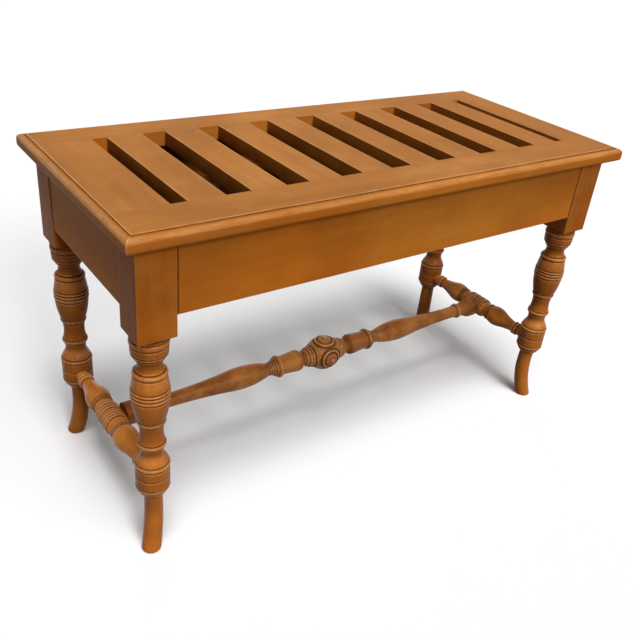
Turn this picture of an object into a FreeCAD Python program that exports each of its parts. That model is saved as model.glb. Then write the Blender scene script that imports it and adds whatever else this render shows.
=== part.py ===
import FreeCAD, Part
import os
import re
import Sketcher

# A luggage rack made as a low wooden bench, in millimetres, +Z up.
# The origin is on the floor under the middle of the top. +X runs along the
# rack to its right end and +Y runs to its back.

SIZES = {
    "rack_length": 800.0,
    "rack_depth": 350.0,
    "rack_height": 472.0,
    "top_thickness": 20.0,
    "nosing_inset": 9.0,
    "nosing_radius": 6.5,
    "nosing_under_radius": 5.0,
    "quirk_depth": 1.5,
    "front_rail_width": 64.4,
    "back_rail_width": 56.1,
    "left_end_width": 78.0,
    "right_end_width": 68.4,
    "slat_width": 48.0,
    "first_slot_width": 20.7,
    "last_slot_width": 14.4,
    "tongue_thickness": 6.0,
    "tongue_length": 12.0,
    "tongue_width": 36.0,
    "rail_tongue_width": 30.0,
    "block_side": 48.0,
    "block_length": 119.7,
    "block_inset_end": 16.0,
    "block_inset_side": 18.5,
    "apron_height": 91.5,
    "back_apron_height": 97.5,
    "apron_thickness": 18.0,
    "apron_setback": 1.0,
    "apron_tenon_thickness": 8.0,
    "apron_tenon_length": 20.0,
    "apron_tenon_shoulder": 14.0,
    "stretcher_height": 117.0,
    "leg_top_radius": 23.5,
    "barrel_radius": 22.4,
    "barrel_above": 22.3,
    "barrel_below": 5.7,
    "barrel_under_height": 22.0,
    "barrel_under_middle": 20.4,
    "barrel_under_end": 13.2,
    "ankle_radius": 11.8,
    "toe_radius": 13.0,
    "toe_sweep": 11.5,
    "foot_bow": 5.2,
    "foot_overlap": 3.0,
    "foot_edge_radius": 3.0,
    "score_width": 1.8,
    "score_depth": 0.9,
    "collar_score_drop": 6.0,
    "collar_score_pitch": 8.3,
    "vase_score_rise": 10.0,
    "vase_score_pitch": 5.0,
    "barrel_score_drop": 1.0,
    "barrel_score_pitch": 14.4,
    "hub_score_place": 8.0,
    "hub_score_pitch": 6.0,
    "side_hub_half": 19.0,
    "side_hub_radius": 17.4,
    "side_end_radius": 10.2,
    "side_end_neck": 6.0,
    "side_socket_depth": 16.0,
    "ball_radius": 27.3,
    "boss_ring_radius": 18.0,
    "boss_inner_ring_radius": 12.4,
    "boss_groove_width": 1.6,
    "boss_groove_floor": 19.6,
    "boss_inner_groove_floor": 23.2,
    "boss_dome_edge": 25.0,
    "boss_dome_middle": 27.0,
    "boss_dome_top": 28.0,
    "boss_button_radius": 4.4,
    "boss_button_tip_radius": 2.8,
    "boss_button_top": 29.0,
    "centre_tenon_radius": 8.0,
    "centre_tenon_length": 12.0,
    "glue_block_side": 20.0,
    "glue_block_length": 45.0,
    "screw_radius": 2.0,
    "screw_head_radius": 4.0,
    "screw_head_height": 2.4,
    "screw_bite": 9.0,
    "joint_clearance": 0.1,
    "cut_margin": 4.0,
}
SLAT_COUNT = 8

# The members of each turning in order along its axis: name, length, radius
# half way along (None for a straight side), radius at its end (or the size that
# sets it), and whether it stretches to fill the length between its neighbours.
LEG_TURNING = (
    ("collar", 24.0, None, 22.8, False),
    ("collar_round", 4.0, 22.3, 20.6, False),
    ("neck_bead", 5.5, 20.0, 18.2, False),
    ("upper_neck", 16.5, 15.3, 19.0, True),
    ("vase_bead", 6.5, 20.9, 20.6, False),
    ("vase_shoulder", 28.0, 23.1, 23.9, True),
    ("vase_body", 37.0, 22.4, 18.0, True),
    ("waist_bead", 6.5, 17.9, 16.6, False),
    ("waist", 27.0, 15.1, 17.0, True),
    ("ring", 8.0, 17.9, 16.8, False),
    ("lower_neck", 17.0, 15.0, 17.6, True),
    ("barrel_shoulder", 13.0, 20.9, "barrel_radius", False),
)
SIDE_TURNING = (
    ("hub_round", 3.5, 16.6, 14.9, False),
    ("neck", 8.5, 14.4, 15.2, True),
    ("bead", 4.5, 16.0, 15.4, False),
    ("vase", 27.0, 18.2, 16.0, True),
    ("taper", 29.5, 12.2, 9.8, True),
    ("inner_ring", 6.0, 11.8, 10.2, False),
    ("outer_ring", 6.0, 11.8, "side_end_radius", False),
)
CENTRE_TURNING = (
    ("ball", 24.5, 24.6, 18.4, False),
    ("ball_quirk", 0.8, None, 17.0, False),
    ("ball_inner_ring", 9.7, 17.3, 14.8, False),
    ("ball_outer_ring", 4.2, 14.3, 12.2, False),
    ("ball_neck", 7.3, 11.5, 14.2, False),
    ("urn_lip", 7.5, 16.9, 17.7, False),
    ("urn", 25.0, 16.6, 15.6, False),
    ("urn_flare", 6.0, None, 16.2, False),
    ("flange", 8.0, 17.8, 15.6, False),
    ("flange_step", 5.0, 14.9, 12.8, False),
    ("baluster_neck", 13.0, 10.5, 11.5, False),
    ("baluster_rise", 42.0, 16.3, 18.0, True),
    ("baluster_fall", 27.0, 17.5, 16.1, True),
    ("shaft", 105.0, 11.9, 10.6, True),
    ("shaft_end", 12.0, None, 10.9, True),
    ("end_bead", 9.0, 13.2, 11.9, False),
    ("end_flare", 20.0, 12.9, 17.2, False),
    ("disc", 16.4, None, 17.5, False),
)
for prefix, members in (("leg", LEG_TURNING), ("side", SIDE_TURNING), ("centre", CENTRE_TURNING)):
    for member, length, middle, end, stretches in members:
        SIZES[f"{prefix}_{member}_length"] = length
        if not isinstance(end, str):
            SIZES[f"{prefix}_{member}_end"] = end
        if middle is not None:
            SIZES[f"{prefix}_{member}_middle"] = middle

# Places that several pieces share, as formulas of the sizes above.
UNDERSIDE = "(rack_height - top_thickness)"
BLOCK_BOTTOM = "(rack_height - top_thickness - block_length)"
LEG_X = "(rack_length / 2 - block_inset_end - block_side / 2)"
LEG_Y = "(rack_depth / 2 - block_inset_side - block_side / 2)"
BLOCK_INNER_X = f"({LEG_X} - block_side / 2)"
BLOCK_INNER_Y = f"({LEG_Y} - block_side / 2)"
APRON_INSET = "(apron_setback + apron_thickness / 2)"
TENON_TOP = f"({UNDERSIDE} - apron_tenon_shoulder)"
TENON_BOTTOM = f"({UNDERSIDE} - apron_height + apron_tenon_shoulder)"
FRONT_EDGE = "(-rack_depth / 2 + front_rail_width)"
BACK_EDGE = "(rack_depth / 2 - back_rail_width)"
LEFT_EDGE = "(-rack_length / 2 + left_end_width)"
RIGHT_EDGE = "(rack_length / 2 - right_end_width)"
FIRST_SLAT = f"({LEFT_EDGE} + first_slot_width + slat_width / 2)"
LAST_SLAT = f"({RIGHT_EDGE} - last_slot_width - slat_width / 2)"
SLAT_PITCH = f"(({LAST_SLAT} - {FIRST_SLAT}) / {SLAT_COUNT - 1})"
LEFT_MIDDLE = "(-rack_length / 2 + left_end_width / 2)"
RIGHT_MIDDLE = "(rack_length / 2 - right_end_width / 2)"
BACK_MIDDLE = "(rack_depth / 2 - back_rail_width / 2)"
APRON_TO_GLUE = "(block_side / 2 - apron_setback - apron_thickness - glue_block_side / 2)"
LONG_GLUE_X = f"({BLOCK_INNER_X} - glue_block_side / 2)"
LONG_GLUE_Y = f"({LEG_Y} + {APRON_TO_GLUE})"
SHORT_GLUE_X = f"({LEG_X} + {APRON_TO_GLUE})"
SHORT_GLUE_Y = f"({BLOCK_INNER_Y} - glue_block_side / 2)"
GLUE_BOTTOM = f"({UNDERSIDE} - glue_block_length)"
TONGUE_LOW = "((top_thickness - tongue_thickness) / 2)"
TONGUE_HIGH = "((top_thickness + tongue_thickness) / 2)"

doc = FreeCAD.newDocument("luggage_rack")
sheet = doc.addObject("Spreadsheet::Sheet", "sizes")
for row, (alias, size) in enumerate(SIZES.items(), start=1):
    sheet.set(f"A{row}", alias)
    sheet.set(f"B{row}", str(size))
    sheet.setAlias(f"B{row}", alias)
doc.recompute()


def bound(formula):
    """Puts the sheet's name in front of every size in a formula."""

    def named(word):
        return "sizes." + word[0] if word[0] in SIZES else word[0]

    return re.sub(r"[a-z][a-z_]*", named, formula)


def value(formula):
    """Works a formula out from the sheet."""
    return float(sheet.evalExpression(bound(formula)))


def origin_part(body, role):
    """Finds one of a body's own planes or axes."""
    return next(part for part in body.Origin.OriginFeatures if part.Role == role)


def new_body(label, x="0", y="0", z="0"):
    """Starts a piece whose place in the rack is bound to the sheet."""
    body = doc.addObject("PartDesign::Body", label)
    body.Label = label
    for axis, formula in zip("xyz", (x, y, z)):
        body.setExpression(f"Placement.Base.{axis}", bound(formula))
    return body


def new_sketch(body, name, plane, lift):
    """Starts a sketch on one of the body's planes, raised along its normal."""
    sketch = body.newObject("Sketcher::SketchObject", name)
    sketch.AttachmentSupport = (origin_part(body, plane), [""])
    sketch.MapMode = "FlatFace"
    sketch.setExpression("AttachmentOffset.Base.z", bound(lift))
    return sketch


def pin_point(sketch, name, geometry, vertex, place):
    """Binds one point of a sketch to its two formulas."""
    for letter, axis, kind, formula in zip("uv", (-2, -1), ("DistanceX", "DistanceY"), place):
        if formula == "0":
            sketch.addConstraint(Sketcher.Constraint("PointOnObject", geometry, vertex, axis))
            continue
        number = sketch.addConstraint(Sketcher.Constraint(kind, -1, 1, geometry, vertex, value(formula)))
        sketch.renameConstraint(number, f"{name}_{letter}")
        sketch.setExpression(f"Constraints.{name}_{letter}", bound(formula))


def outline(body, name, plane, start, steps, lift="0"):
    """Draws a closed outline; a step is the end of a straight side, or a point on an arc and its end."""
    sketch = new_sketch(body, name, plane, lift)
    here = start
    joins = []
    for number, step in enumerate(steps):
        there = step[-2:]
        begin = FreeCAD.Vector(value(here[0]), value(here[1]), 0)
        finish = FreeCAD.Vector(value(there[0]), value(there[1]), 0)
        if len(step) == 2:
            side = sketch.addGeometry(Part.LineSegment(begin, finish), False)
        else:
            through = FreeCAD.Vector(value(step[0]), value(step[1]), 0)
            side = sketch.addGeometry(Part.Arc(begin, through, finish), False)
            marker = sketch.addGeometry(Part.Point(through), True)
            pin_point(sketch, f"arc_{number}", marker, 1, step[:2])
            sketch.addConstraint(Sketcher.Constraint("PointOnObject", marker, 1, side))
        first, last = 1, 2
        gap_at_first = sketch.getPoint(side, first).distanceToPoint(begin)
        if sketch.getPoint(side, last).distanceToPoint(begin) < gap_at_first:
            first, last = 2, 1
        joins.append((side, first, last))
        pin_point(sketch, f"corner_{number}", side, first, here)
        here = there
    for (side, first, last), (next_side, next_first, next_last) in zip(joins, joins[1:] + joins[:1]):
        sketch.addConstraint(Sketcher.Constraint("Coincident", side, last, next_side, next_first))
    return sketch


def rectangle(body, name, plane, low, high, lift="0"):
    """Draws a rectangle between two opposite corners."""
    steps = [(high[0], low[1]), high, (low[0], high[1]), low]
    return outline(body, name, plane, low, steps, lift)


def circle(body, name, plane, centre, radius, lift="0"):
    """Draws a circle."""
    sketch = new_sketch(body, name, plane, lift)
    middle = FreeCAD.Vector(value(centre[0]), value(centre[1]), 0)
    ring = sketch.addGeometry(Part.Circle(middle, FreeCAD.Vector(0, 0, 1), value(radius)), False)
    pin_point(sketch, "centre", ring, 3, centre)
    number = sketch.addConstraint(Sketcher.Constraint("Radius", ring, value(radius)))
    sketch.renameConstraint(number, "radius")
    sketch.setExpression("Constraints.radius", bound(radius))
    return sketch


def pad(body, name, sketch, length, symmetric=False, backwards=False):
    """Raises a sketch into a solid."""
    feature = body.newObject("PartDesign::Pad", name)
    feature.Profile = sketch
    feature.SideType = "Symmetric" if symmetric else "One side"
    feature.Reversed = backwards
    feature.setExpression("Length", bound(length))
    body.Tip = feature
    return feature


def pocket(body, name, sketch, length=None, backwards=False):
    """Cuts a sketch into the solid, or right through it on both sides when no depth is given."""
    feature = body.newObject("PartDesign::Pocket", name)
    feature.Profile = sketch
    feature.Reversed = backwards
    if length is None:
        feature.SideType = "Symmetric"
        feature.Type = "ThroughAll"
    else:
        feature.setExpression("Length", bound(length))
    body.Tip = feature
    return feature


def turn(body, name, sketch, axis, cut=False):
    """Turns a sketch about its own horizontal or vertical axis, adding or cutting."""
    feature = body.newObject("PartDesign::Groove" if cut else "PartDesign::Revolution", name)
    feature.Profile = sketch
    feature.ReferenceAxis = (sketch, [axis])
    feature.Angle = 360
    body.Tip = feature
    return feature


def mirrored_half(body, name, feature, plane):
    """Completes a turning from its half."""
    mirror = body.newObject("PartDesign::Mirrored", name)
    mirror.Originals = [feature]
    mirror.MirrorPlane = (origin_part(body, plane), [""])
    body.Tip = mirror
    return mirror


def turning(prefix, members, begin, length):
    """Lists a turning's arcs and sides as (along, radius) formulas from its begin over its length."""
    fixed = " + ".join(f"{prefix}_{member[0]}_length" for member in members if not member[4])
    free = " + ".join(f"{prefix}_{member[0]}_length" for member in members if member[4])
    stretch = f"({length} - ({fixed})) / ({free})"
    steps = []
    along = begin
    for member, member_length, middle, end, stretches in members:
        run = f"{prefix}_{member}_length"
        if stretches:
            run = f"{run} * {stretch}"
        half_way = f"{along} + {run} / 2"
        along = f"{along} + {run}"
        finish = (along, end if isinstance(end, str) else f"{prefix}_{member}_end")
        if middle is None:
            steps.append(finish)
        else:
            steps.append((half_way, f"{prefix}_{member}_middle") + finish)
    return steps


def score(body, name, plane, axis, place, radius, count, pitch):
    """Cuts fine V grooves round a turning: the first at a place along its axis, the rest a pitch apart."""
    mouth = [f"{place} - score_width / 2", f"{place} + score_width / 2"]
    points = [(f"{radius} + score_depth", level) for level in mouth] + [(f"{radius} - score_depth", place)]
    section = outline(body, f"{name}_section", plane, points[0], points[1:] + points[:1])
    first = turn(body, f"{name}_first", section, "V_Axis", True)
    row = body.newObject("PartDesign::LinearPattern", name)
    row.Originals = [first]
    row.Direction = (origin_part(body, axis), [""])
    row.Reversed = True
    row.Mode = "Spacing"
    row.setExpression("Offset", bound(pitch))
    row.Occurrences = count
    body.Tip = row
    return row


def mirror_image(label, source, across_x):
    """Makes the matching piece on the other side of the rack."""
    image = doc.addObject("Part::Mirroring", label)
    image.Label = label
    image.Source = source
    image.Normal = FreeCAD.Vector(1, 0, 0) if across_x else FreeCAD.Vector(0, 1, 0)
    return image


def moulding(outer, inward):
    """Edge moulding from the underside to the flat edge, up a quarter round and over a quirk to the top."""
    quirk = "top_thickness - quirk_depth"
    spring = "top_thickness - quirk_depth - nosing_radius"
    belly = f"{outer} {inward} nosing_radius * (1 - sqrt(0.5))"
    under_belly = f"{outer} {inward} nosing_under_radius * (1 - sqrt(0.5))"
    return [
        (f"{outer} {inward} nosing_under_radius", "0"),
        (under_belly, "nosing_under_radius * (1 - sqrt(0.5))", outer, "nosing_under_radius"),
        (outer, spring),
        (belly, f"{spring} + nosing_radius * sqrt(0.5)", f"{outer} {inward} nosing_radius", quirk),
        (f"{outer} {inward} nosing_inset", quirk),
        (f"{outer} {inward} nosing_inset", "top_thickness"),
    ]


def board_section(body, plane, outer, inner, inward):
    """Section of a top board with its moulded outer edge."""
    steps = moulding(outer, inward) + [(inner, "top_thickness"), (inner, "0")]
    return outline(body, "section", plane, (inner, "0"), steps)


def return_moulding(body, name, plane, outer, inward, outward):
    """Cuts the moulding across a board's end, so that it meets the long edge in a mitre."""
    under, *profile, arris = moulding(outer, inward)
    above = "top_thickness + cut_margin"
    below = "-cut_margin"
    beyond = f"{outer} {outward} cut_margin"
    steps = profile + [(arris[0], above), (beyond, above), (beyond, below), (under[0], below), under]
    return pocket(body, name, outline(body, f"{name}_waste", plane, under, steps))


def tongue(body, name, low, high):
    """Adds a tongue in the middle of a board's thickness between two corners of its plan."""
    plan = rectangle(body, f"{name}_plan", "XY_Plane", low, high, TONGUE_LOW)
    return pad(body, name, plan, "tongue_thickness")


def mortise(body, name, plane, centre, width, lift, backwards):
    """Cuts the slot that a tongue fits, with clearance all round, into an edge."""
    low = (f"{centre} - {width} / 2 - joint_clearance", f"{TONGUE_LOW} - joint_clearance")
    high = (f"{centre} + {width} / 2 + joint_clearance", f"{TONGUE_HIGH} + joint_clearance")
    face = rectangle(body, f"{name}_face", plane, low, high, lift)
    return pocket(body, name, face, "tongue_length + joint_clearance", backwards)


def slat_mortises(body, lift, backwards):
    """Cuts the row of slots for the slats into a rail."""
    first = mortise(body, "slat_mortise", "XZ_Plane", FIRST_SLAT, "tongue_width", lift, backwards)
    row = body.newObject("PartDesign::LinearPattern", "slat_mortises")
    row.Originals = [first]
    row.Direction = (origin_part(body, "X_Axis"), [""])
    row.Mode = "Spacing"
    row.setExpression("Offset", bound(SLAT_PITCH))
    row.Occurrences = SLAT_COUNT
    body.Tip = row


def pilot_hole(body, name, x, y):
    """Bores the hole for a fixing screw up into a top board."""
    ring = circle(body, f"{name}_ring", "XY_Plane", (x, y), "screw_radius + joint_clearance")
    return pocket(body, name, ring, "screw_bite + joint_clearance", True)


# The top is a frame of four boards with a moulded edge, slotted for the slats.
top_front_rail = new_body("top_front_rail", z=UNDERSIDE)
section = board_section(top_front_rail, "YZ_Plane", "-rack_depth / 2", FRONT_EDGE, "+")
pad(top_front_rail, "board", section, "rack_length", symmetric=True)
return_moulding(top_front_rail, "left_return", "XZ_Plane", "-rack_length / 2", "+", "-")
return_moulding(top_front_rail, "right_return", "XZ_Plane", "rack_length / 2", "-", "+")
mortise(top_front_rail, "left_end_mortise", "XZ_Plane", LEFT_MIDDLE, "tongue_width", f"-{FRONT_EDGE}", True)
mortise(top_front_rail, "right_end_mortise", "XZ_Plane", RIGHT_MIDDLE, "tongue_width", f"-{FRONT_EDGE}", True)
pilot_hole(top_front_rail, "left_pilot", f"-{LONG_GLUE_X}", f"-{LONG_GLUE_Y}")
pilot_hole(top_front_rail, "right_pilot", LONG_GLUE_X, f"-{LONG_GLUE_Y}")
slat_mortises(top_front_rail, f"-{FRONT_EDGE}", True)

# The back rail stops at the right end board and runs through at the left.
top_back_rail = new_body("top_back_rail", z=UNDERSIDE)
section = board_section(top_back_rail, "YZ_Plane", "rack_depth / 2", BACK_EDGE, "-")
section.setExpression("AttachmentOffset.Base.z", bound("-rack_length / 2"))
pad(top_back_rail, "board", section, "rack_length - right_end_width")
return_moulding(top_back_rail, "left_return", "XZ_Plane", "-rack_length / 2", "+", "-")
tongue_low = (f"{RIGHT_EDGE} - tongue_length", f"{BACK_MIDDLE} - rail_tongue_width / 2")
tongue_high = (f"{RIGHT_EDGE} + tongue_length", f"{BACK_MIDDLE} + rail_tongue_width / 2")
tongue(top_back_rail, "right_tongue", tongue_low, tongue_high)
mortise(top_back_rail, "left_end_mortise", "XZ_Plane", LEFT_MIDDLE, "tongue_width", f"-{BACK_EDGE}", False)
pilot_hole(top_back_rail, "left_pilot", f"-{LONG_GLUE_X}", LONG_GLUE_Y)
pilot_hole(top_back_rail, "right_pilot", LONG_GLUE_X, LONG_GLUE_Y)
slat_mortises(top_back_rail, f"-{BACK_EDGE}", False)

# The left end board lies between the rails.
top_left_end = new_body("top_left_end", z=UNDERSIDE)
section = board_section(top_left_end, "XZ_Plane", "-rack_length / 2", LEFT_EDGE, "+")
section.setExpression("AttachmentOffset.Base.z", bound(f"-{FRONT_EDGE}"))
pad(top_left_end, "board", section, f"{BACK_EDGE} - {FRONT_EDGE}", backwards=True)
tongue_low = (f"{LEFT_MIDDLE} - tongue_width / 2", f"{FRONT_EDGE} - tongue_length")
tongue_high = (f"{LEFT_MIDDLE} + tongue_width / 2", f"{BACK_EDGE} + tongue_length")
tongue(top_left_end, "tongues", tongue_low, tongue_high)
pilot_hole(top_left_end, "front_pilot", f"-{SHORT_GLUE_X}", f"-{SHORT_GLUE_Y}")
pilot_hole(top_left_end, "back_pilot", f"-{SHORT_GLUE_X}", SHORT_GLUE_Y)

# The right end board runs from the front rail out to the back edge.
top_right_end = new_body("top_right_end", z=UNDERSIDE)
section = board_section(top_right_end, "XZ_Plane", "rack_length / 2", RIGHT_EDGE, "-")
section.setExpression("AttachmentOffset.Base.z", bound(f"-{FRONT_EDGE}"))
pad(top_right_end, "board", section, f"rack_depth / 2 - {FRONT_EDGE}", backwards=True)
return_moulding(top_right_end, "back_return", "YZ_Plane", "rack_depth / 2", "-", "+")
tongue_low = (f"{RIGHT_MIDDLE} - tongue_width / 2", f"{FRONT_EDGE} - tongue_length")
tongue_high = (f"{RIGHT_MIDDLE} + tongue_width / 2", f"{FRONT_EDGE} + tongue_length")
tongue(top_right_end, "front_tongue", tongue_low, tongue_high)
mortise(top_right_end, "rail_mortise", "YZ_Plane", BACK_MIDDLE, "rail_tongue_width", RIGHT_EDGE, True)
pilot_hole(top_right_end, "front_pilot", SHORT_GLUE_X, f"-{SHORT_GLUE_Y}")
pilot_hole(top_right_end, "back_pilot", SHORT_GLUE_X, SHORT_GLUE_Y)
nodes = [top_front_rail, top_back_rail, top_left_end, top_right_end]

# The slats lie across the opening, each with a tongue at both ends.
for number in range(SLAT_COUNT):
    slat = new_body(f"slat_{number + 1}", x=f"{FIRST_SLAT} + {number} * {SLAT_PITCH}", z=UNDERSIDE)
    plan = rectangle(slat, "plan", "XY_Plane", ("-slat_width / 2", FRONT_EDGE), ("slat_width / 2", BACK_EDGE))
    pad(slat, "board", plan, "top_thickness")
    tongue_low = ("-tongue_width / 2", f"{FRONT_EDGE} - tongue_length")
    tongue_high = ("tongue_width / 2", f"{BACK_EDGE} + tongue_length")
    tongue(slat, "tongues", tongue_low, tongue_high)
    nodes.append(slat)

# Each leg is one length of wood: a square block, a turned shank with beads, vase and
# barrel, and a round foot that sweeps outwards along the diagonal.
leg_front_left = new_body("leg_front_left", x=f"-{LEG_X}", y=f"-{LEG_Y}")
half_block = "block_side / 2"
near_corner = (f"-{half_block}", f"-{half_block}")
far_corner = (half_block, half_block)
plan = rectangle(leg_front_left, "block_plan", "XY_Plane", near_corner, far_corner, BLOCK_BOTTOM)
pad(leg_front_left, "block", plan, "block_length")
barrel_top = "stretcher_height + barrel_above"
barrel_end = "stretcher_height - barrel_below"
foot_top = f"{barrel_end} - barrel_under_height"
drops = turning("leg", LEG_TURNING, "0", f"({BLOCK_BOTTOM} - ({barrel_top}))")
steps = []
for drop in drops:
    level = f"{BLOCK_BOTTOM} - ({drop[-2]})"
    if len(drop) == 2:
        steps.append((drop[1], level))
    else:
        steps.append((drop[1], f"{BLOCK_BOTTOM} - ({drop[0]})", drop[3], level))
under_middle = f"{barrel_end} - barrel_under_height / 2"
steps.append(("barrel_radius", barrel_end))
steps.append(("barrel_under_middle", under_middle, "barrel_under_end", foot_top))
steps += [("0", foot_top), ("0", BLOCK_BOTTOM), ("leg_top_radius", BLOCK_BOTTOM)]
shank = outline(leg_front_left, "shank_profile", "XZ_Plane", ("leg_top_radius", BLOCK_BOTTOM), steps)
turn(leg_front_left, "shank", shank, "V_Axis")
rings = []
FOOT_RINGS = 4
for number in range(FOOT_RINGS):
    share = f"{number} / {FOOT_RINGS - 1}"
    rest = f"(1 - {share})"
    sweep = f"(-(toe_sweep * {share} - 4 * foot_bow * {share} * {rest}) / sqrt(2))"
    radius = f"ankle_radius + (toe_radius - ankle_radius) * {share}"
    centre = ("0", "0") if number == 0 else (sweep, sweep)
    lift = f"({foot_top} + foot_overlap) * {rest}"
    rings.append(circle(leg_front_left, f"foot_ring_{number}", "XY_Plane", centre, radius, lift))
foot = leg_front_left.newObject("PartDesign::AdditiveLoft", "foot")
foot.Profile = rings[0]
foot.Sections = rings[1:]
leg_front_left.Tip = foot
doc.recompute()
lowest = min(range(len(foot.Shape.Edges)), key=lambda number: foot.Shape.Edges[number].BoundBox.ZMax)
toe_edge = leg_front_left.newObject("PartDesign::Fillet", "toe_edge")
toe_edge.Base = (foot, [f"Edge{lowest + 1}"])
toe_edge.setExpression("Radius", bound("foot_edge_radius"))
leg_front_left.Tip = toe_edge
vase_belly = f"{BLOCK_BOTTOM} - ({drops[5][-2]})"
for name, place, radius, count, pitch in (
    ("collar_scores", f"{BLOCK_BOTTOM} - collar_score_drop", "leg_top_radius", 2, "collar_score_pitch"),
    ("vase_scores", f"{vase_belly} + vase_score_rise", "leg_vase_shoulder_end", 4, "vase_score_pitch"),
    ("barrel_scores", f"{barrel_top} - barrel_score_drop", "barrel_radius", 3, "barrel_score_pitch"),
):
    score(leg_front_left, name, "XZ_Plane", "Z_Axis", place, radius, count, pitch)
tenon_low = f"{TENON_BOTTOM} - joint_clearance"
tenon_high = f"{TENON_TOP} + joint_clearance"
tenon_near = f"-block_side / 2 + {APRON_INSET} - apron_tenon_thickness / 2 - joint_clearance"
tenon_far = f"-block_side / 2 + {APRON_INSET} + apron_tenon_thickness / 2 + joint_clearance"
tenon_depth = "apron_tenon_length + joint_clearance"
mortise_low = (tenon_near, tenon_low)
mortise_high = (tenon_far, tenon_high)
face = rectangle(leg_front_left, "front_mortise_face", "YZ_Plane", mortise_low, mortise_high, half_block)
pocket(leg_front_left, "front_mortise", face, tenon_depth)
face = rectangle(leg_front_left, "side_mortise_face", "XZ_Plane", mortise_low, mortise_high, f"-{half_block}")
pocket(leg_front_left, "side_mortise", face, tenon_depth, True)
socket_radius = "side_end_radius + joint_clearance"
socket_end = "-(barrel_radius - side_socket_depth)"
socket_axis = ("0", "stretcher_height")
mouth = circle(leg_front_left, "socket_mouth", "XZ_Plane", socket_axis, socket_radius, socket_end)
pocket(leg_front_left, "socket", mouth, "side_socket_depth + cut_margin")
leg_front_right = mirror_image("leg_front_right", leg_front_left, True)
leg_back_left = mirror_image("leg_back_left", leg_front_left, False)
leg_back_right = mirror_image("leg_back_right", leg_front_right, False)
nodes += [leg_front_left, leg_front_right, leg_back_left, leg_back_right]

# The aprons are plain boards tenoned into the leg blocks under the top.
# The back one is a little deeper than the rest.
apron_front = new_body("apron_front", y=f"-{LEG_Y} - block_side / 2 + {APRON_INSET}")
apron_back = new_body("apron_back", y=f"{LEG_Y} + block_side / 2 - {APRON_INSET}")
apron_left = new_body("apron_left", x=f"-{LEG_X} - block_side / 2 + {APRON_INSET}")
for apron, plane, reach, height in (
    (apron_front, "XZ_Plane", BLOCK_INNER_X, "apron_height"),
    (apron_back, "XZ_Plane", BLOCK_INNER_X, "back_apron_height"),
    (apron_left, "YZ_Plane", BLOCK_INNER_Y, "apron_height"),
):
    face = rectangle(apron, "face", plane, (f"-{reach}", f"{UNDERSIDE} - {height}"), (reach, UNDERSIDE))
    pad(apron, "board", face, "apron_thickness", symmetric=True)
    tenon_low = (f"-{reach} - apron_tenon_length", TENON_BOTTOM)
    tenon_high = (f"{reach} + apron_tenon_length", TENON_TOP)
    face = rectangle(apron, "tenon_face", plane, tenon_low, tenon_high)
    pad(apron, "tenons", face, "apron_tenon_thickness", symmetric=True)
apron_right = mirror_image("apron_right", apron_left, True)
nodes += [apron_front, apron_back, apron_left, apron_right]

# An end stretcher is turned about Y: a hub in the middle, a vase on each side of it,
# and plain round ends that enter the legs' barrels.
stretcher_left = new_body("stretcher_left", x=f"-{LEG_X}", z="stretcher_height")
leg_face = f"({LEG_Y} - barrel_radius)"
turned = turning("side", SIDE_TURNING, "side_hub_half", f"({leg_face} - side_hub_half - side_end_neck)")
steps = [("side_hub_radius", "side_hub_half")]
for step in turned:
    steps.append((step[1], step[0]) if len(step) == 2 else (step[1], step[0], step[3], step[2]))
tip = f"{leg_face} + side_socket_depth - joint_clearance"
steps += [("side_end_radius", tip), ("0", tip), ("0", "0"), ("side_hub_radius", "0")]
profile = outline(stretcher_left, "half_profile", "XY_Plane", ("side_hub_radius", "0"), steps)
half = turn(stretcher_left, "half_turning", profile, "V_Axis")
mirrored_half(stretcher_left, "whole_turning", half, "XZ_Plane")
for name, place in (("near_scores", "-hub_score_place"), ("far_scores", "hub_score_place + hub_score_pitch")):
    score(stretcher_left, name, "XY_Plane", "Y_Axis", place, "side_hub_radius", 2, "hub_score_pitch")
socket_radius = "centre_tenon_radius + joint_clearance"
mouth = circle(stretcher_left, "socket_mouth", "YZ_Plane", ("0", "0"), socket_radius, "side_hub_radius")
pocket(stretcher_left, "socket", mouth, "centre_tenon_length + joint_clearance")
stretcher_right = mirror_image("stretcher_right", stretcher_left, True)

# The long stretcher is turned about X: a ball in the middle, then on each side an urn,
# a long baluster and a disc that seats on the end stretcher. The ball carries four
# round bosses, each a ring about a raised dome with a button on it.
stretcher_centre = new_body("stretcher_centre", z="stretcher_height")
half_length = f"({LEG_X} - side_hub_radius)"
steps = turning("centre", CENTRE_TURNING, "0", half_length)
shoulder = steps[-1][0]
tip = f"{half_length} + centre_tenon_length"
steps += [(shoulder, "centre_tenon_radius"), (tip, "centre_tenon_radius"), (tip, "0")]
steps += [("0", "0"), ("0", "ball_radius")]
profile = outline(stretcher_centre, "half_profile", "XY_Plane", ("0", "ball_radius"), steps)
half = turn(stretcher_centre, "half_turning", profile, "H_Axis")
mirrored_half(stretcher_centre, "whole_turning", half, "YZ_Plane")
boss = []
for name, radius, floor in (
    ("outer_ring", "boss_ring_radius", "boss_groove_floor"),
    ("inner_ring", "boss_inner_ring_radius", "boss_inner_groove_floor"),
):
    low = (f"{radius} - boss_groove_width / 2", floor)
    high = (f"{radius} + boss_groove_width / 2", "ball_radius + cut_margin")
    section = rectangle(stretcher_centre, f"{name}_section", "XZ_Plane", low, high)
    boss.append(turn(stretcher_centre, name, section, "V_Axis", True))
dome_rim = "(boss_inner_ring_radius - boss_groove_width / 2)"
dome_half_way = f"({dome_rim} + boss_button_radius) / 2"
dome_foot = "boss_inner_groove_floor"
dome_steps = [
    (dome_rim, dome_foot),
    (dome_rim, "boss_dome_edge"),
    (dome_half_way, "boss_dome_middle", "boss_button_radius", "boss_dome_top"),
    ("boss_button_tip_radius", "boss_button_top"),
    ("0", "boss_button_top"),
    ("0", dome_foot),
]
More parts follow.
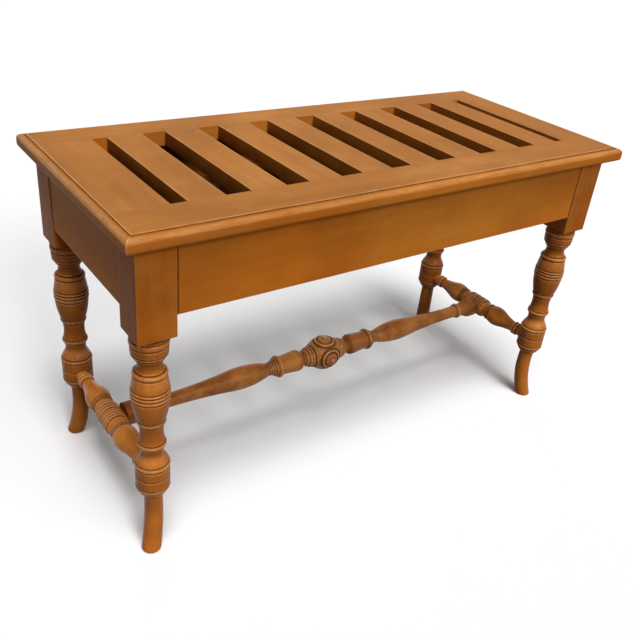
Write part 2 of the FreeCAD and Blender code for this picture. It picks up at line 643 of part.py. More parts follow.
dome = outline(stretcher_centre, "dome_section", "XZ_Plane", ("0", dome_foot), dome_steps)
boss.append(turn(stretcher_centre, "dome", dome, "V_Axis"))
bosses = stretcher_centre.newObject("PartDesign::PolarPattern", "bosses")
bosses.Originals = boss
bosses.Axis = (origin_part(stretcher_centre, "X_Axis"), [""])
bosses.Angle = 360
bosses.Occurrences = 4
stretcher_centre.Tip = bosses
nodes += [stretcher_left, stretcher_right, stretcher_centre]

# Square blocks glued into the corners behind the aprons, each with a screw up into the top.
long_corner = (f"-{LONG_GLUE_X}", f"-{LONG_GLUE_Y}", GLUE_BOTTOM)
short_corner = (f"-{SHORT_GLUE_X}", f"-{SHORT_GLUE_Y}", GLUE_BOTTOM)
glue_block_front_left = new_body("glue_block_front_left", *long_corner)
glue_block_left_front = new_body("glue_block_left_front", *short_corner)
long_screw = new_body("long_side_screw", *long_corner)
short_screw = new_body("short_side_screw", *short_corner)
half_side = "glue_block_side / 2"
for block in (glue_block_front_left, glue_block_left_front):
    plan = rectangle(block, "plan", "XY_Plane", (f"-{half_side}", f"-{half_side}"), (half_side, half_side))
    pad(block, "block", plan, "glue_block_length")
    ring = circle(block, "screw_hole_ring", "XY_Plane", ("0", "0"), "screw_radius + joint_clearance")
    pocket(block, "screw_hole", ring)
for screw in (long_screw, short_screw):
    steps = [
        ("screw_head_radius", "-screw_head_height"),
        ("screw_head_radius", "0"),
        ("screw_radius", "0"),
        ("screw_radius", "glue_block_length + screw_bite"),
        ("0", "glue_block_length + screw_bite"),
        ("0", "-screw_head_height"),
    ]
    turn(screw, "screw", outline(screw, "profile", "XZ_Plane", ("0", "-screw_head_height"), steps), "V_Axis")
glue_block_front_right = mirror_image("glue_block_front_right", glue_block_front_left, True)
glue_block_back_left = mirror_image("glue_block_back_left", glue_block_front_left, False)
glue_block_back_right = mirror_image("glue_block_back_right", glue_block_front_right, False)
glue_block_right_front = mirror_image("glue_block_right_front", glue_block_left_front, True)
glue_block_left_back = mirror_image("glue_block_left_back", glue_block_left_front, False)
glue_block_right_back = mirror_image("glue_block_right_back", glue_block_right_front, False)
nodes += [glue_block_front_left, glue_block_front_right, glue_block_back_left, glue_block_back_right]
nodes += [glue_block_left_front, glue_block_left_back, glue_block_right_front, glue_block_right_back]
corner_screws = [long_screw, short_screw]
left_screws = corner_screws + [mirror_image(f"{screw.Label}_back", screw, False) for screw in corner_screws]
all_screws = left_screws + [mirror_image(f"{screw.Label}_right", screw, True) for screw in left_screws]
top_screws = doc.addObject("Part::Compound", "top_screws")
top_screws.Label = "top_screws"
top_screws.Links = all_screws
nodes.append(top_screws)

doc.recompute()
for part in doc.Objects:
    if "Invalid" in part.State or "Error" in part.State:
        raise RuntimeError(f"{part.Label} did not compute: {part.State}")
os.makedirs("parts", exist_ok=True)
for node in nodes:
    if node.Shape.isNull() or not node.Shape.isValid():
        raise RuntimeError(f"{node.Label} has no sound shape")
    node.Shape.exportStep(f"parts/{node.Label}.step")
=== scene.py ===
import math

import bpy
import numpy as np
from mathutils import Matrix, Vector


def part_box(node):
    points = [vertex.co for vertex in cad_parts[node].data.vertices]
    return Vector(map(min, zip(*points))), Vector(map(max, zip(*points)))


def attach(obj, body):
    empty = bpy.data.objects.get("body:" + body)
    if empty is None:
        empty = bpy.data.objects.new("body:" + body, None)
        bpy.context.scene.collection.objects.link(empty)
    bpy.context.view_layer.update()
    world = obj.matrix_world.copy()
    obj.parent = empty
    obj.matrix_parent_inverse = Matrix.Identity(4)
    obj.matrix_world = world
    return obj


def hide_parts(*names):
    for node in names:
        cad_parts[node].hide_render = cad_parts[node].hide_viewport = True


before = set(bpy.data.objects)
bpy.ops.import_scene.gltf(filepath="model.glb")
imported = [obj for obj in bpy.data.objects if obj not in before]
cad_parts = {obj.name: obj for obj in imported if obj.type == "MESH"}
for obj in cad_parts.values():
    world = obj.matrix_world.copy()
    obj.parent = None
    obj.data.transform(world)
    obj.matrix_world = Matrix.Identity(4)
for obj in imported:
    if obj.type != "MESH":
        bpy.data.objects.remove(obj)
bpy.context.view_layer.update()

# The top is a frame of four solid boards, planed flush and varnished a honey brown.
# A scratch-stock moulding runs round its outer edge: a quirk, a quarter round, a flat
# and an eased lower edge. The boards are tongued together and screwed down from below.

TOP_COLOUR = (0.540, 0.175, 0.022)
TOP_FADED = (0.475, 0.188, 0.043)
TOP_FINISH = {"rough": 0.46, "figure": 0.06, "shine": 0.015, "faded": TOP_FADED}
RAIL_REDDER = 0.22
REDDER_FROM, REDDER_TO = -0.40, -0.15
# Dark colour for dirt and for painted shade in grooves, slots, necks and undersides.
DIRT_AND_SHADE = (0.060, 0.019, 0.006)
# Pale colour for rubbed wear and for painted highlights on crests, lips and edges.
WORN_AND_HIGHLIGHT = (0.700, 0.360, 0.115)
WORN_POLISH = 0.45
PLANED_SHINE = 0.01
PLANED_BAND = 0.001
MATT_DIRT_AND_SHADE = 0.7
GLOSS_SPREAD = 0.06
PORE_STAIN = 0.28
GRAIN_STRENGTH, GRAIN_DEPTH = 0.15, 0.0004
UNSTAINED = (1.0, 1.0, 1.0)
NOSING_INSET = 0.0090
NOSING_RADIUS = 0.0065
NOSING_UNDER = 0.0050
QUIRK_DEPTH = 0.0015
# Points past the nosing's inset: how far in and above the quirk, then how far in and below the top.
QUIRK_FLOOR = ((-0.0009, 0.00003), (0.0, 0.0002))
QUIRK_ARRIS = ((0.00005, 0.0006), (0.0003, 0.00015), (0.0008, 0.0))
# Painted shade in the quirk: a dark line for the shadow of its small step, by inset from the edge.
QUIRK_SHADE_INSETS = (0.0070, 0.0081, 0.0090, 0.00905, 0.0093)
QUIRK_SHADE = (0.0, 0.35, 0.75, 0.5, 0.0)
ARRIS_WIDTH = 0.0004
ARRIS_WEAR = 0.6
# Rubbed wear and a painted highlight along the upper side of the quarter round.
ROUND_WEAR_AND_HIGHLIGHT = 0.35
ROUND_WEAR_ENDS = (0.0020, 0.0008)
SIDE_CORNER_WEAR = 0.5
BESIDE_CORNER_WEAR = 0.25
FADE_DEPTH = 0.0003
SIDE_FADE_DEPTH = 0.0010
FRONT_FADE = (0.0, 0.45, 1.0)
# The left moulded edge is faded, and made paler still as painted light on that side.
LEFT_FADE_AND_LIGHT = (0.9, 0.95, 1.0)
JOINT_EASE = 0.00008
SHARP_ABOVE = math.radians(35)
ROUND_POINTS = 11
SIDE_POINTS = 30
CORNER_POINTS = np.array((0.0, 0.0012, 0.0035))
CORNER_REACH = 0.010
FACE_MARGIN = 0.0015
# Painted shade on the underside faces of the top boards and slats.
UNDER_SHADE = (0.45, 0.0)


def shader_node(tree, kind, inputs=None, **settings):
    """Adds a node, sets its properties, and sets or links its inputs."""
    node = tree.nodes.new(kind)
    for key, setting in settings.items():
        setattr(node, key, setting)
    for key, source in (inputs or {}).items():
        if isinstance(source, bpy.types.NodeSocket):
            tree.links.new(source, node.inputs[key])
        else:
            node.inputs[key].default_value = source
    return node


def ramp(tree, source, stops):
    """Colour ramp through a list of (place, colour) stops."""
    node = shader_node(tree, "ShaderNodeValToRGB", {"Fac": source})
    while len(node.color_ramp.elements) < len(stops):
        node.color_ramp.elements.new(0.5)
    for element, (place, colour) in zip(node.color_ramp.elements, stops):
        element.position = place
        element.color = (*colour, 1.0)
    return node.outputs["Color"]


def blend(tree, factor, first, second, mode="MIX"):
    """Mixes two colours by a factor, or multiplies the first by the second by that factor."""
    inputs = {0: factor, 6: first, 7: second}
    return shader_node(tree, "ShaderNodeMix", inputs, data_type="RGBA", blend_type=mode).outputs[2]


def between(tree, value, low, high, at_low, at_high):
    """Straight line from one level at the low value to another at the high value, flat beyond them."""
    inputs = {"Value": value, "From Min": low, "From Max": high, "To Min": at_low, "To Max": at_high}
    return shader_node(tree, "ShaderNodeMapRange", inputs).outputs[0]


def times(tree, first, second):
    """Product of two levels."""
    return shader_node(tree, "ShaderNodeMath", {0: first, 1: second}, operation="MULTIPLY").outputs[0]


def wood(
    name, grain_axis, base, rough, figure, shine,
    blotch=0.16, patches=9.0, redder=0.0, faded=None, planed=None,
):
    """Varnished wood. Its tone wanders in patches from red through the base colour to tan, and is redder by
    a share towards the left end of the rack. Soft streaks along the grain, cloudy blotches and fine pores
    darken it. Dirt and painted shade darken it unevenly where the recess attribute is high, and there it
    shines less. Rubbed wear and painted highlights, from their own attribute, make the finish pale and
    polished. It is bleached to the faded colour, with hazy patches, where the fade attribute is. Above the
    planed level the piece is planed and not turned, and shines less."""
    material = bpy.data.materials.new(name)
    material.use_nodes = True
    tree = material.node_tree
    shader = tree.nodes["Principled BSDF"]
    place = shader_node(tree, "ShaderNodeTexCoord").outputs["Object"]

    def place_on(axis):
        """Distance along one axis of the rack."""
        return shader_node(tree, "ShaderNodeSeparateXYZ", {"Vector": place}).outputs[axis]

    def noise(across, along, detail, roughness=0.55, distortion=0.0):
        """Noise of one scale across the grain and another along it."""
        scale = [across] * 3
        scale[grain_axis] = along
        spot = shader_node(tree, "ShaderNodeMapping", {"Vector": place, "Scale": scale}).outputs[0]
        inputs = {"Vector": spot, "Scale": 1.0, "Detail": detail, "Roughness": roughness}
        inputs["Distortion"] = distortion
        return shader_node(tree, "ShaderNodeTexNoise", inputs).outputs["Fac"]

    def mark(key):
        """Level of one of the piece's own attributes."""
        return shader_node(tree, "ShaderNodeAttribute", attribute_name=key).outputs["Fac"]

    streak = noise(across=55.0, along=3.0, detail=4.0, roughness=0.58, distortion=0.6)
    pore = noise(across=700.0, along=22.0, detail=2.0)
    cloud = noise(across=patches, along=0.8 * patches, detail=4.0, roughness=0.6)
    speck = noise(across=260.0, along=36.0, detail=4.0, roughness=0.65)
    mottle = noise(across=0.9 * patches, along=0.5 * patches, detail=4.0, roughness=0.6)
    smear = noise(across=60.0, along=30.0, detail=3.0)
    base = np.array(base)
    red = base * (0.99, 0.87, 0.76)
    tan = base * (1.02, 1.14, 1.35)
    colour = ramp(tree, mottle, [(0.36, red), (0.50, base), (0.64, tan)])
    if redder:
        from_left = between(tree, place_on("X"), REDDER_FROM, REDDER_TO, 0.0, 1.0)
        left_tone = 1 - redder * np.array((0.35, 1.0, 1.3))
        left_shade = ramp(tree, from_left, [(0.1, left_tone), (0.9, UNSTAINED)])
        colour = blend(tree, 1.0, colour, left_shade, "MULTIPLY")
    if faded:
        fade = mark("fade")
        colour = blend(tree, fade, colour, (*faded, 1.0))
        hazy = noise(across=7.0, along=6.0, detail=5.0, roughness=0.7)
        haze = ramp(tree, hazy, [(0.50, (0.0, 0.0, 0.0)), (0.74, (0.30, 0.30, 0.30))])
        colour = blend(tree, times(tree, fade, haze), colour, (*WORN_AND_HIGHLIGHT, 1.0))
    streak_tone = 1 - figure * np.array((2.0, 2.4, 2.8))
    streaks = ramp(tree, streak, [(0.32, streak_tone), (0.68, UNSTAINED)])
    colour = blend(tree, 1.0, colour, streaks, "MULTIPLY")
    blotch_tone = 1 - blotch * np.array((1.0, 1.15, 1.3))
    blotches = ramp(tree, cloud, [(0.36, blotch_tone), (0.58, UNSTAINED)])
    colour = blend(tree, 1.0, colour, blotches, "MULTIPLY")
    pores = ramp(tree, pore, [(0.33, (0.74, 0.68, 0.60)), (0.45, UNSTAINED)])
    colour = blend(tree, PORE_STAIN, colour, pores, "MULTIPLY")
    uneven = ramp(tree, smear, [(0.34, (0.72, 0.72, 0.72)), (0.62, (1.1, 1.1, 1.1))])
    # Dirt and painted shade darken the colour where the recess mark is high.
    recess = times(tree, mark("recess"), uneven)
    colour = blend(tree, recess, colour, (*DIRT_AND_SHADE, 1.0))
    # Rubbed wear and painted highlights turn the colour pale where the wear mark is high.
    wear_and_highlight = mark("wear_and_highlight")
    rubbed = ramp(tree, speck, [(0.38, (0.10, 0.10, 0.10)), (0.62, (1.0, 1.0, 1.0))])
    colour = blend(tree, times(tree, wear_and_highlight, rubbed), colour, (*WORN_AND_HIGHLIGHT, 1.0))
    tree.links.new(colour, shader.inputs["Base Color"])
    gloss = between(tree, cloud, 0.3, 0.7, rough - GLOSS_SPREAD, rough + GLOSS_SPREAD)
    tree.links.new(gloss, shader.inputs["Roughness"])
    if planed:
        shine = between(tree, place_on("Z"), planed - PLANED_BAND, planed, shine, PLANED_SHINE)
    polish_inputs = {0: wear_and_highlight, 1: WORN_POLISH, 2: shine}
    polish = shader_node(tree, "ShaderNodeMath", polish_inputs, operation="MULTIPLY_ADD").outputs[0]
    gleam = between(tree, recess, 0.0, MATT_DIRT_AND_SHADE, polish, 0.0)
    tree.links.new(gleam, shader.inputs["Specular IOR Level"])
    height = blend(tree, 0.5, streak, pore)
    bump_inputs = {"Height": height, "Strength": GRAIN_STRENGTH, "Distance": GRAIN_DEPTH}
    bump = shader_node(tree, "ShaderNodeBump", bump_inputs)
    tree.links.new(bump.outputs["Normal"], shader.inputs["Normal"])
    return material


def skin(name, rings, material, recess=0.0, wear_and_highlight=0.0, fade=0.0):
    """Solid through closed rings of points in order along a piece: quads between neighbouring rings, and a
    flat face at each end. The sign of the volume under the quads tells whether the faces must be turned."""
    count, around = rings.shape[:2]
    index = np.arange(count * around).reshape(count, around)
    beside = np.roll(index, -1, axis=1)
    quads = np.stack([index[:-1], beside[:-1], beside[1:], index[1:]], axis=-1).reshape(-1, 4)
    points = rings.reshape(-1, 3)
    corners = points[quads] - points.mean(axis=0)
    first_half = np.einsum("ij,ij->i", corners[:, 0], np.cross(corners[:, 1], corners[:, 2]))
    second_half = np.einsum("ij,ij->i", corners[:, 0], np.cross(corners[:, 2], corners[:, 3]))
    faces = quads.tolist() + [index[0, ::-1].tolist(), index[-1].tolist()]
    mesh = bpy.data.meshes.new(name)
    mesh.from_pydata(points.tolist(), [], faces)
    if first_half.sum() + second_half.sum() < 0:
        mesh.flip_normals()
    # Recess marks carry dirt and painted shade; wear marks carry rubbed wear and painted highlights.
    for key, amount in (("recess", recess), ("wear_and_highlight", wear_and_highlight), ("fade", fade)):
        amounts = np.broadcast_to(amount, (count, around)).astype(np.float32).ravel()
        mesh.attributes.new(key, "FLOAT", "POINT").data.foreach_set("value", amounts)
    mesh.polygons.foreach_set("use_smooth", np.ones(len(faces), bool))
    mesh.set_sharp_from_angle(angle=SHARP_ABOVE)
    mesh.materials.append(material)
    mesh.update()
    piece = bpy.data.objects.new(name, mesh)
    bpy.context.scene.collection.objects.link(piece)
    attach(piece, "root")
    return piece


def bell(distance, width):
    """Bell curve: one at no distance, and the exponential of minus the square of distance over width."""
    return np.exp(-((distance / width) ** 2))


def eased(levels, low, high, radius):
    """Inset of a plain side whose two long edges are rounded off: the radius, less the root of its square
    minus the square of how far the level is short of a radius from the nearer face."""
    short = np.clip(radius - np.minimum(levels - low, high - levels), 0, radius)
    return radius - np.sqrt(radius**2 - short**2)


def board(
    name, low, high, levels, insets, material, marks, axes=(0, 1, 2), face_shade=(0.0, 0.0), corner_wear=None
):
    """Board as rectangular rings stacked through its thickness: at each level the four sides stand in from
    the box by their own insets. The sides come in the order low second axis, high first axis, high second
    axis, low first axis, and so do their marks of dirt and painted shade, wear and painted highlights, and
    fade. A ring a margin inside each flat face keeps the marks on the edges off the face, which has its own
    painted shade."""
    rows = np.concatenate([[0], np.arange(len(levels)), [len(levels) - 1]])
    on_face = np.zeros(len(rows))
    on_face[[0, -1]] = 1.0
    near, right, far, left = (inset[rows] + FACE_MARGIN * on_face for inset in insets)
    low = np.array(low)[list(axes)]
    high = np.array(high)[list(axes)]
    corners = [(low[0] + left, low[1] + near), (high[0] - right, low[1] + near)]
    corners += [(high[0] - right, high[1] - far), (low[0] + left, high[1] - far)]
    rings = np.empty((len(rows), 4 * SIDE_POINTS, 3))
    rings[..., axes[2]] = levels[rows][:, None]
    for side in range(4):
        begin, end = corners[side], corners[(side + 1) % 4]
        length = high[side % 2] - low[side % 2]
        close = CORNER_POINTS / length
        reach = CORNER_REACH / length
        middle = np.linspace(reach, 1 - reach, SIDE_POINTS - 2 * len(close) + 1)
        share = np.concatenate([close, middle, 1 - close[:0:-1]])
        columns = slice(side * SIDE_POINTS, (side + 1) * SIDE_POINTS)
        for k in range(2):
            rings[:, columns, axes[k]] = begin[k][:, None] + (end[k] - begin[k])[:, None] * share
    sides = [np.stack([mark[rows] for mark in kind], axis=1) for kind in marks]
    dirt_and_shade, wear_and_highlight, fade = (np.repeat(side, SIDE_POINTS, axis=1) for side in sides)
    if corner_wear is not None:
        for beside, share in ((-1, BESIDE_CORNER_WEAR), (0, 1.0), (1, BESIDE_CORNER_WEAR)):
            columns = (np.arange(4) * SIDE_POINTS + beside) % (4 * SIDE_POINTS)
            wear_and_highlight[:, columns] = np.maximum(wear_and_highlight[:, columns], share * corner_wear[rows])
    dirt_and_shade[[0, -1]] = np.array(face_shade)[:, None]
    wear_and_highlight[[0, -1]] = 0.0
    return skin(name, rings, material, dirt_and_shade, wear_and_highlight, fade)


front_low, front_high = (np.array(corner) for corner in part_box("top_front_rail"))
back_low, back_high = (np.array(corner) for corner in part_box("top_back_rail"))
left_low, left_high = (np.array(corner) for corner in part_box("top_left_end"))
right_low, right_high = (np.array(corner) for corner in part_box("top_right_end"))
UNDERSIDE, TOP = front_low[2], front_high[2]

turn = np.linspace(0, np.pi / 2, ROUND_POINTS)
quirk_level = TOP - QUIRK_DEPTH
spring = quirk_level - NOSING_RADIUS
profile = np.concatenate([
    np.stack([NOSING_UNDER * (1 - np.sin(turn)), UNDERSIDE + NOSING_UNDER * (1 - np.cos(turn))], axis=1),
    np.stack([NOSING_RADIUS * (1 - np.cos(turn)), spring + NOSING_RADIUS * np.sin(turn)], axis=1),
    [(NOSING_INSET + inset, quirk_level + rise) for inset, rise in QUIRK_FLOOR],
    [(NOSING_INSET + inset, TOP - drop) for inset, drop in QUIRK_ARRIS],
])
moulded, levels = profile.T
plain = eased(levels, UNDERSIDE, TOP, JOINT_EASE)
no_mark = np.zeros_like(levels)
# Painted shade along the quirk of each moulded edge.
quirk_shade = np.interp(moulded, QUIRK_SHADE_INSETS, QUIRK_SHADE)
quirk_shade[levels < spring] = 0.0
round_levels = (spring, spring + ROUND_WEAR_ENDS[0], quirk_level - ROUND_WEAR_ENDS[1], quirk_level)
# Worn arris, and a band of rubbed wear and painted highlight on the quarter round.
edge_wear_and_highlight = bell(TOP - levels, ARRIS_WIDTH) * ARRIS_WEAR
edge_wear_and_highlight += np.interp(levels, round_levels, (0.0, ROUND_WEAR_AND_HIGHLIGHT, ROUND_WEAR_AND_HIGHLIGHT, 0.0))
nosing_wear = np.where(levels > UNDERSIDE + NOSING_UNDER, 1.0, 0.0) * (moulded < NOSING_INSET)
corner_wear = np.stack([nosing_wear, nosing_wear * SIDE_CORNER_WEAR, no_mark, no_mark], axis=1)
fade_levels = (spring, quirk_level, TOP - FADE_DEPTH)
front_fade = np.interp(levels, fade_levels, FRONT_FADE)
left_fade_and_light = np.interp(levels, fade_levels, LEFT_FADE_AND_LIGHT)
plain_fade = np.interp(levels, (TOP - SIDE_FADE_DEPTH, TOP - FADE_DEPTH), (0.0, 1.0))
edge_fades = (front_fade, front_fade, front_fade, left_fade_and_light)
top_along_x = wood("top_wood_along_rack", 0, TOP_COLOUR, redder=RAIL_REDDER, **TOP_FINISH)
top_along_y = wood("top_wood_across_rack", 1, TOP_COLOUR, **TOP_FINISH)
back_corner = (right_low[0], back_high[1], TOP)
left_corners = ((left_low[0], front_high[1], UNDERSIDE), (left_high[0], back_low[1], TOP))
right_corner = (right_low[0], front_high[1], UNDERSIDE)
for node, low, high, edges, material in (
    ("top_front_rail", front_low, front_high, (True, True, False, True), top_along_x),
    ("top_back_rail", back_low, back_corner, (False, False, True, True), top_along_x),
    ("top_left_end", *left_corners, (False, False, False, True), top_along_y),
    ("top_right_end", right_corner, right_high, (False, True, True, False), top_along_y),
):
    insets = [moulded if edge else plain for edge in edges]
    dirt_and_shade = [quirk_shade if edge else no_mark for edge in edges]
    wear_and_highlight = [edge_wear_and_highlight if edge else no_mark for edge in edges]
    fade = [edge_fade if edge else plain_fade for edge, edge_fade in zip(edges, edge_fades)]
    worn = corner_wear if node == "top_front_rail" else None
    marks = (dirt_and_shade, wear_and_highlight, fade)
    piece = board(
        f"{node}_board", low, high, levels, insets, material, marks, face_shade=UNDER_SHADE, corner_wear=worn
    )
    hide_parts(node)

# The slats are eight equal boards of the same wood set across the frame, flush with it and tongued
# into the two rails. Their grain runs from front to back and their long edges are a little eased.

SLATS = 8
SLAT_EASE = 0.0007
SLAT_WALL_DROPS = (0.0030, 0.0012)
# Painted shade down the side walls of the slats, darker deeper into the gaps, and less on the slats further
# right.
SLAT_WALL_SHADE = (0.0, 0.30, 0.62)
LESS_SHADED_SLATS = (3, 5)
LESS_WALL_SHADE = 0.65
SLAT_LEFT_WEAR, SLAT_RIGHT_WEAR = 0.5, 0.2
slat_levels = np.concatenate([
    UNDERSIDE + SLAT_EASE * (1 - np.cos(turn[::2])),
    [(UNDERSIDE + TOP) / 2, *(TOP - drop for drop in SLAT_WALL_DROPS)],
    TOP - SLAT_EASE * (1 - np.cos(turn[::-2])),
])
slat_drops = TOP - slat_levels
slat_side = eased(slat_levels, UNDERSIDE, TOP, SLAT_EASE)
slat_end = eased(slat_levels, UNDERSIDE, TOP, JOINT_EASE)
slat_arris = bell(slat_drops, ARRIS_WIDTH)
slat_clean = np.zeros_like(slat_levels)
slat_wall_shade = np.interp(slat_drops, (FADE_DEPTH, SIDE_FADE_DEPTH, TOP - UNDERSIDE), SLAT_WALL_SHADE)
slat_fade = np.interp(slat_drops, (FADE_DEPTH, SIDE_FADE_DEPTH), (1.0, 0.0))
insets = (slat_end, slat_side, slat_end, slat_side)
wear_and_highlight = (slat_clean, SLAT_RIGHT_WEAR * slat_arris, slat_clean, SLAT_LEFT_WEAR * slat_arris)
for number in range(1, SLATS + 1):
    slat_low, slat_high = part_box(f"slat_{number}")
    low = (slat_low[0], front_high[1], UNDERSIDE)
    high = (slat_high[0], back_low[1], TOP)
    # Painted shade on the slat walls, less on the slats further right.
    painted_shade = slat_wall_shade * np.interp(number, LESS_SHADED_SLATS, (1.0, LESS_WALL_SHADE))
    marks = ((slat_clean, painted_shade, slat_clean, painted_shade), wear_and_highlight, [slat_fade] * 4)
    piece = board(
        f"slat_{number}_board", low, high, slat_levels, insets, top_along_y, marks, face_shade=UNDER_SHADE
    )
    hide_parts(f"slat_{number}")

# Each leg is one length of wood: a square block left for the joints, a shank turned with
# collar, vase and barrel and scored with rings, and a round foot bent out on the diagonal.

LEG_COLOUR = (0.565, 0.173, 0.021)
LEG_FINISH = {"rough": 0.30, "figure": 0.06, "blotch": 0.20, "patches": 22.0, "shine": 0.09}
BLOCK_BOTTOM = 0.3323
BLOCK_EASE = 0.0012
BLOCK_TOP_BAND = 0.004
SQUARE_POWER = 50
BLOCK_SIDE_POINTS = 23
BLOCK_CORNER = 45.0
BESIDE_BLOCK_CORNER = 43.6
LEG_TOP_RADIUS = 0.0235
# Each member from the block down: its length, and its radius half-way and at its end.
LEG_MEMBERS = (
    (0.0240, 0.0233, 0.0228), (0.0040, 0.0223, 0.0206), (0.0055, 0.0200, 0.0182), (0.0165, 0.0153, 0.0190),
    (0.0065, 0.0209, 0.0206), (0.0280, 0.0231, 0.0239), (0.0370, 0.0224, 0.0180), (0.0065, 0.0179, 0.0166),
    (0.0270, 0.0151, 0.0170), (0.0080, 0.0179, 0.0168), (0.0170, 0.0150, 0.0176), (0.0130, 0.0209, 0.0224),
    (0.0280, 0.0224, 0.0224), (0.0220, 0.0203, 0.0124),
)
# Where each bead begins and ends, measured down from the block.
LEG_BEADS = (
    (0.0060, 0.0143), (0.0250, 0.0300), (0.0498, 0.0565), (0.0745, 0.0790), (0.0790, 0.0840),
    (0.0840, 0.0895), (0.1215, 0.1298), (0.1560, 0.1632), (0.1882, 0.1943), (0.2245, 0.2310),
)
LONE_SCORE = 0.2090
LEG_SCORES = tuple(sorted({place for pair in LEG_BEADS for place in pair} | {LONE_SCORE}))
FEWEST_RINGS = 6
LEG_STEP = 0.0006
LEG_SKIM = 0.0005
LEG_BEAD_RISE = 0.0007
LEG_SCORE_WIDTH = 0.0010
LEG_SCORE_DEPTH = 0.0010
LIP_OFFSET, LIP_WIDTH = 1.7, 0.5
FOOT_RADII = (0.0118, 0.0130)
FOOT_SWEEP = 0.0115
FOOT_BOW = 0.0052
FOOT_EDGE = 0.0030
FOOT_RINGS = 60
FOOT_NECK = 0.05
# Painted shade along the shank, by drop from the block: dark under the block, in the necks and below the
# swells.
SHANK_SHADE_DROPS = (
    0.000, 0.030, 0.038, 0.048, 0.058, 0.090, 0.118, 0.150, 0.160, 0.170, 0.176, 0.190, 0.200, 0.236,
)
SHANK_SHADE_LEVELS = (0.30, 0.16, 0.33, 0.20, 0.06, 0.11, 0.29, 0.27, 0.14, 0.27, 0.06, 0.06, 0.20, 0.26)
UNDER_BLOCK_SHADE, UNDER_BLOCK_REACH = 0.8, 0.002
# Painted shade in the scored grooves.
LEG_SCORE_SHADE = 0.88
BLOCK_DIRT = 0.08
FOOT_DIRT = 0.06
BLOCK_CORNER_WEAR = 0.3
# Painted highlights: pale bands on the bead crests, on the shoulders of the vase and barrel, and on the lips
# beside each groove.
SHOULDER_DROPS, SHOULDER_WIDTH = (0.062, 0.179), 0.006
CREST_HIGHLIGHT, SHOULDER_HIGHLIGHT, LIP_HIGHLIGHT = 0.35, 0.2, 0.6


def turning(start, members, spacing):
    """Places along a turning and its radius there: in each member the radius is the parabola through its
    start, half-way and end radii."""
    along, radius = [np.zeros(1)], [np.array([start])]
    begin = 0.0
    for length, middle, end in members:
        count = max(FEWEST_RINGS, int(round(length / spacing)))
        share = np.arange(1, count + 1) / count
        from_start = start * (1 - share) * (1 - 2 * share)
        to_end = end * share * (2 * share - 1)
        along.append(begin + length * share)
        radius.append(from_start + 4 * middle * share * (1 - share) + to_end)
        begin += length
        start = end
    return np.concatenate(along), np.concatenate(radius)


def score_lines(along, places, width):
    """Strength of fine turned grooves: a bell curve round each place, the strongest where they overlap."""
    return bell(along[..., None] - np.array(places), width).max(axis=-1)


def groove_lips(along, places, width):
    """Strength of the pale lips of turned grooves, which are painted highlights: a bell curve on each side
    of every place, at an offset and of a width that are both given in groove widths."""
    widths_off = np.abs(along[..., None] - np.array(places)) / width
    return bell(widths_off - LIP_OFFSET, LIP_WIDTH).max(axis=-1)


def bead_swell(along, pairs):
    """Half-sine swelling between each pair of places."""
    shares = [np.clip((along - begin) / (end - begin), 0, 1) for begin, end in pairs]
    return sum(np.sin(np.pi * share) for share in shares)


block_side = np.linspace(-BESIDE_BLOCK_CORNER, BESIDE_BLOCK_CORNER, BLOCK_SIDE_POINTS)
quarter = np.radians(np.append(block_side, BLOCK_CORNER))
angles = np.concatenate([quarter + k * np.pi / 2 for k in range(4)])
cosines, sines = np.cos(angles), np.sin(angles)
square = (np.abs(cosines) ** SQUARE_POWER + np.abs(sines) ** SQUARE_POWER) ** (-1 / SQUARE_POWER)
leg_low, leg_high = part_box("leg_front_left")
half_block = (leg_high[0] - leg_low[0]) / 2
block_bands = [leg_high[2], leg_high[2] - BLOCK_TOP_BAND]
block_levels = np.concatenate([block_bands, BLOCK_BOTTOM + BLOCK_EASE * (1 - np.sin(turn[::2]))])
block_ease = eased(block_levels, BLOCK_BOTTOM, 2 * leg_high[2], BLOCK_EASE)
block_radius = (half_block - block_ease)[:, None] * square
drop, shank = turning(LEG_TOP_RADIUS, LEG_MEMBERS, LEG_STEP)
swell = bead_swell(drop, LEG_BEADS)
grooves = score_lines(drop, LEG_SCORES, LEG_SCORE_WIDTH)
shank = shank - LEG_SKIM + LEG_BEAD_RISE * swell - LEG_SCORE_DEPTH * grooves
foot_top = BLOCK_BOTTOM - drop[-1]
foot_end = FOOT_EDGE * (1 - np.sin(turn[1::2]))
foot_levels = np.concatenate([np.linspace(foot_top, FOOT_EDGE, FOOT_RINGS)[1:], foot_end])
foot_share = 1 - foot_levels / foot_top
foot_edge = np.clip(FOOT_EDGE - foot_levels, 0, FOOT_EDGE)
foot_radius = FOOT_RADII[0] + (FOOT_RADII[1] - FOOT_RADII[0]) * foot_share
foot_radius -= FOOT_EDGE - np.sqrt(FOOT_EDGE**2 - foot_edge**2)
foot_radius += (shank[-1] - FOOT_RADII[0]) * np.exp(-foot_share / FOOT_NECK)
sweep = FOOT_SWEEP * foot_share - 4 * FOOT_BOW * foot_share * (1 - foot_share)
round_radius = np.repeat(np.concatenate([shank, foot_radius])[:, None], len(angles), axis=1)
leg_radius = np.concatenate([block_radius, round_radius])
leg_level = np.concatenate([block_levels, BLOCK_BOTTOM - drop, foot_levels])
leg_shift = np.concatenate([np.zeros(len(block_levels) + len(drop)), -sweep / np.sqrt(2)])
# Painted shade under the block, along the shank and in the scored grooves.
shank_painted_shade = np.exp(-drop / UNDER_BLOCK_REACH) * UNDER_BLOCK_SHADE + np.interp(drop, SHANK_SHADE_DROPS, SHANK_SHADE_LEVELS)
shank_shade = np.maximum(grooves * LEG_SCORE_SHADE, shank_painted_shade)
block_dirt = np.full(len(block_levels), BLOCK_DIRT)
foot_dirt = np.full(len(foot_levels), FOOT_DIRT)
leg_dirt_and_shade = np.concatenate([block_dirt, shank_shade, foot_dirt])
